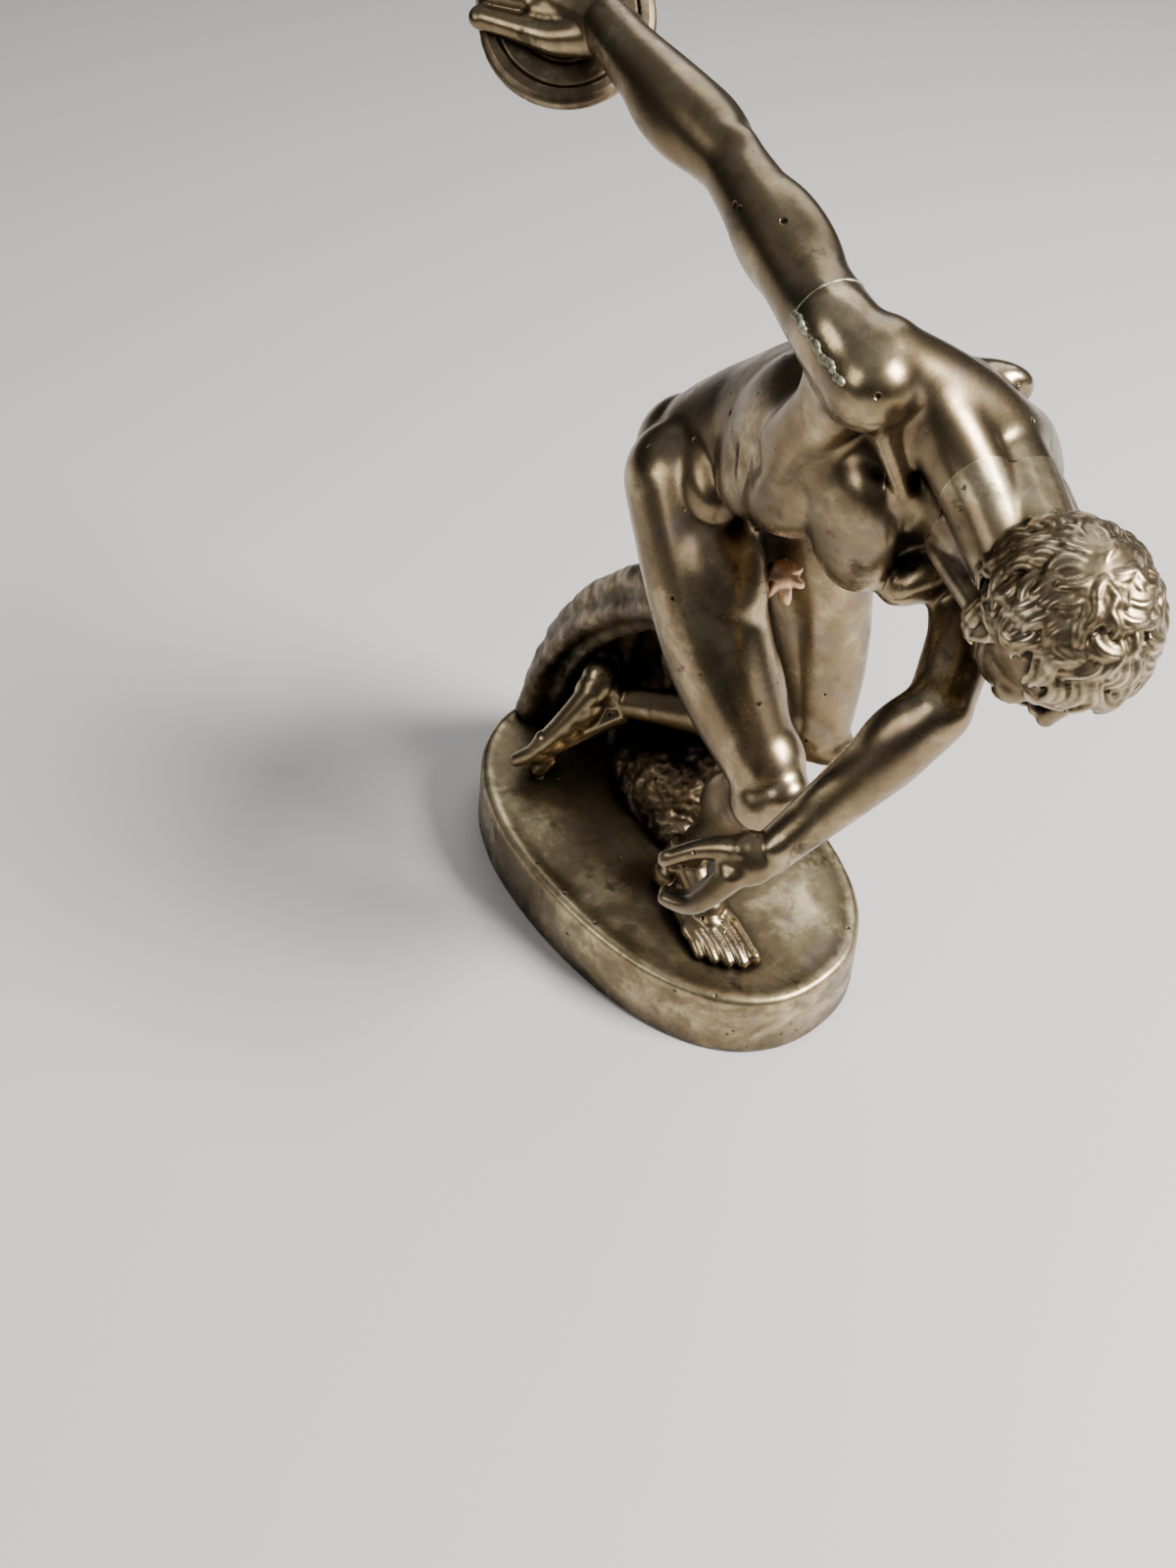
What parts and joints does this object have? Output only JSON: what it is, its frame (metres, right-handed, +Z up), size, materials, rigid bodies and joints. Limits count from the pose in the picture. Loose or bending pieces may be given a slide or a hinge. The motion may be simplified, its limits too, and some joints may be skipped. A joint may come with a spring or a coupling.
{
  "type": "bronze statuette",
  "caption": "Cast bronze discus thrower bent forward on an oval plinth, cast in pinned and brazed sections, with a stump support behind the legs.",
  "frame": {"origin": "centre of the underside of the plinth, on the face of the felt", "axes": "+X along the plinth's length, the way the standing foot points; +Y to the figure's left; +Z up"},
  "size_m": [0.2106, 0.1178, 0.2693],
  "materials": {
    "figure_bronze": "polished and waxed cast bronze, dark brown patina left in the hollows, small casting pits",
    "hair_bronze": "chased bronze locks, dark in the grooves and bright on the crests",
    "plinth_bronze": "brushed brown-olive bronze with a bright worn rim",
    "stump_bronze": "dark patinated cast bronze, rough in the hollows",
    "discus_bronze": "dark brown turned bronze with incised rings",
    "braze": "pale greenish braze metal, pitted",
    "brass_dowel": "drawn brass rod",
    "steel_fixings": "zinc plated steel",
    "felt": "dark green baize felt"
  },
  "bodies": {
    "root": {"discus": "discus_bronze", "discus_pin": "brass_dowel", "felt_pad": "felt", "fig_leaf": "figure_bronze", "head": "hair_bronze", "left_arm": "figure_bronze", "left_hip_dowel": "brass_dowel", "left_leg": "figure_bronze", "left_shoulder_dowel": "brass_dowel", "left_toe_nut": "steel_fixings", "left_toe_stud": "steel_fixings", "left_toe_washer": "steel_fixings", "neck_dowel": "brass_dowel", "plinth": "plinth_bronze", "right_arm": "figure_bronze", "right_foot_nut": "steel_fixings", "right_foot_stud": "steel_fixings", "right_foot_washer": "steel_fixings", "right_hip_dowel": "brass_dowel", "right_leg": "figure_bronze", "right_shoulder_dowel": "brass_dowel", "shoulder_braze": "braze", "stump": "stump_bronze", "stump_nut": "steel_fixings", "stump_stud": "steel_fixings", "stump_washer": "steel_fixings", "torso": "figure_bronze"}
  },
  "joints": []
}
